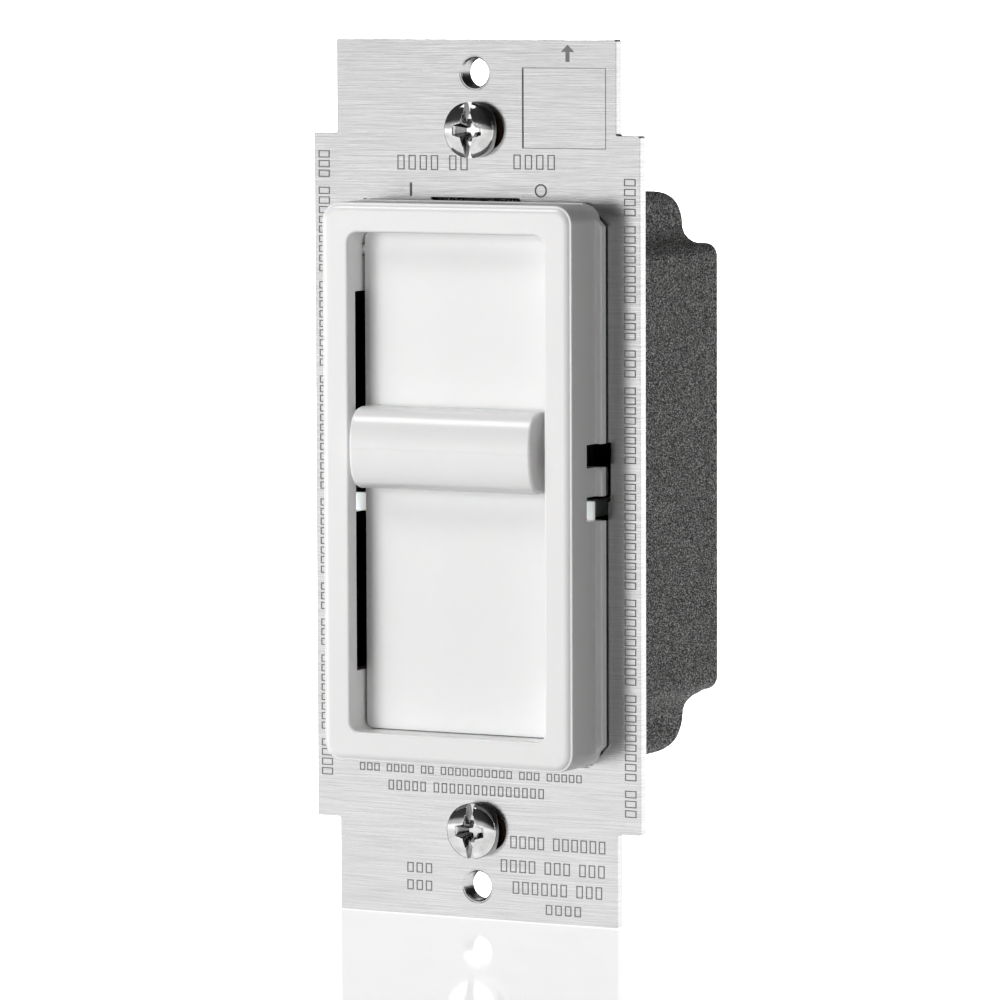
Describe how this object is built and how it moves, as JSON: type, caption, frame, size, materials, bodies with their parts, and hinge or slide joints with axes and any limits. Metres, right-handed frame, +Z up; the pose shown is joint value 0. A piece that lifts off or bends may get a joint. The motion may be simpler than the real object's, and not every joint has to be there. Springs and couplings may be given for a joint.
{
  "type": "slide dimmer switch",
  "caption": "Slide dimmer for a wall box: metal strap, white frame with a press pad and slide bar, dark housing and dimming circuit behind.",
  "frame": {"origin": "centre of the strap's rear face, midway between the two wall plate holes, on the wall plane", "axes": "+X to the viewer's right, +Y into the wall, +Z up along the strap; the front faces -Y"},
  "size_m": [0.0434, 0.0347, 0.1046],
  "materials": {
    "strap_aluminium": "fine horizontal brushing, satin",
    "screw_chrome": "bright plated",
    "fibre": "vulcanised fibre",
    "tinned_metal": "tinned",
    "white_plastic": "smooth gloss",
    "black_plastic": "smooth moulded",
    "bronze": "rolled phosphor bronze",
    "insulating_sheet": "matt sheet",
    "housing_plastic": "fine grained moulding",
    "board_laminate": "bare laminate",
    "carbon_track": "printed carbon",
    "steel": "zinc plated",
    "thermal_pad": "soft sheet",
    "ferrite": "powder coated core",
    "enamelled_copper": "enamelled wire",
    "amber_case": "dipped",
    "blue_case": "moulded",
    "resistor_body": "lacquered",
    "diac_glass": "glass body",
    "light_pipe": "milky clear",
    "lamp_lens": "tinted lens"
  },
  "bodies": {
    "strap_assembly": {"mounting_strap": "strap_aluminium", "screw_retainer_top": "fibre", "screw_retainer_bottom": "fibre", "ground_lug": "tinned_metal", "bezel_frame": "white_plastic", "insulating_sheet": "insulating_sheet", "rear_housing": "housing_plastic", "housing_screw_top_left": "steel", "housing_screw_top_right": "steel", "housing_screw_bottom_left": "steel", "housing_screw_bottom_right": "steel", "circuit_board": "board_laminate", "potentiometer_body": "black_plastic", "resistive_strip": "carbon_track", "collector_strip": "tinned_metal", "push_switch_body": "black_plastic", "triac": "black_plastic", "triac_insulator": "thermal_pad", "triac_rivet": "steel", "choke_core": "ferrite", "choke_winding": "enamelled_copper", "film_capacitor": "amber_case", "timing_capacitor": "blue_case", "timing_resistor": "resistor_body", "lamp_resistor": "resistor_body", "diac": "diac_glass", "trim_potentiometer": "blue_case", "light_pipe_left": "light_pipe", "light_pipe_right": "light_pipe", "locator_lamp_left": "lamp_lens", "locator_lamp_right": "lamp_lens", "lead_terminal_load": "tinned_metal", "lead_terminal_line": "tinned_metal", "lead_terminal_traveller": "tinned_metal"},
    "slider": {"slide_bar": "white_plastic", "slide_carriage": "black_plastic", "wiper_contact": "bronze"},
    "pad": {"push_pad": "white_plastic"},
    "plunger": {"switch_plunger": "white_plastic", "switch_spring": "steel"},
    "selector": {"light_selector_lever": "white_plastic", "light_selector_contact": "bronze"},
    "screw_top": {"mounting_screw_top": "screw_chrome"},
    "screw_bottom": {"mounting_screw_bottom": "screw_chrome"}
  },
  "joints": [
    {"name": "dim_slide", "type": "slide", "parent": "strap_assembly", "child": "slider", "axis": [0, 0, 1], "range_m": [-0.0232, 0.0148]},
    {"name": "pad_press", "type": "hinge", "parent": "strap_assembly", "child": "pad", "pos_m": [0, -0.005, 0.0275], "axis": [1, 0, 0], "range_deg": [0, 1], "stiffness_Nm_per_rad": 0.6, "springref_deg": -2.86},
    {"name": "plunger_push", "type": "slide", "parent": "strap_assembly", "child": "plunger", "axis": [0, 1, 0], "range_m": [0, 0.00095]},
    {"name": "light_select", "type": "slide", "parent": "strap_assembly", "child": "selector", "axis": [1, 0, 0], "range_m": [0, 0.0048]},
    {"name": "screw_top_turn", "type": "hinge", "parent": "strap_assembly", "child": "screw_top", "pos_m": [0, 0, 0.04167], "axis": [0, 1, 0], "continuous": true},
    {"name": "screw_bottom_turn", "type": "hinge", "parent": "strap_assembly", "child": "screw_bottom", "pos_m": [0, 0, -0.04167], "axis": [0, 1, 0], "continuous": true}
  ],
  "couplings": [
    {"joint": "plunger_push", "follows": "pad_press", "m_per_rad": 0.0512}
  ]
}
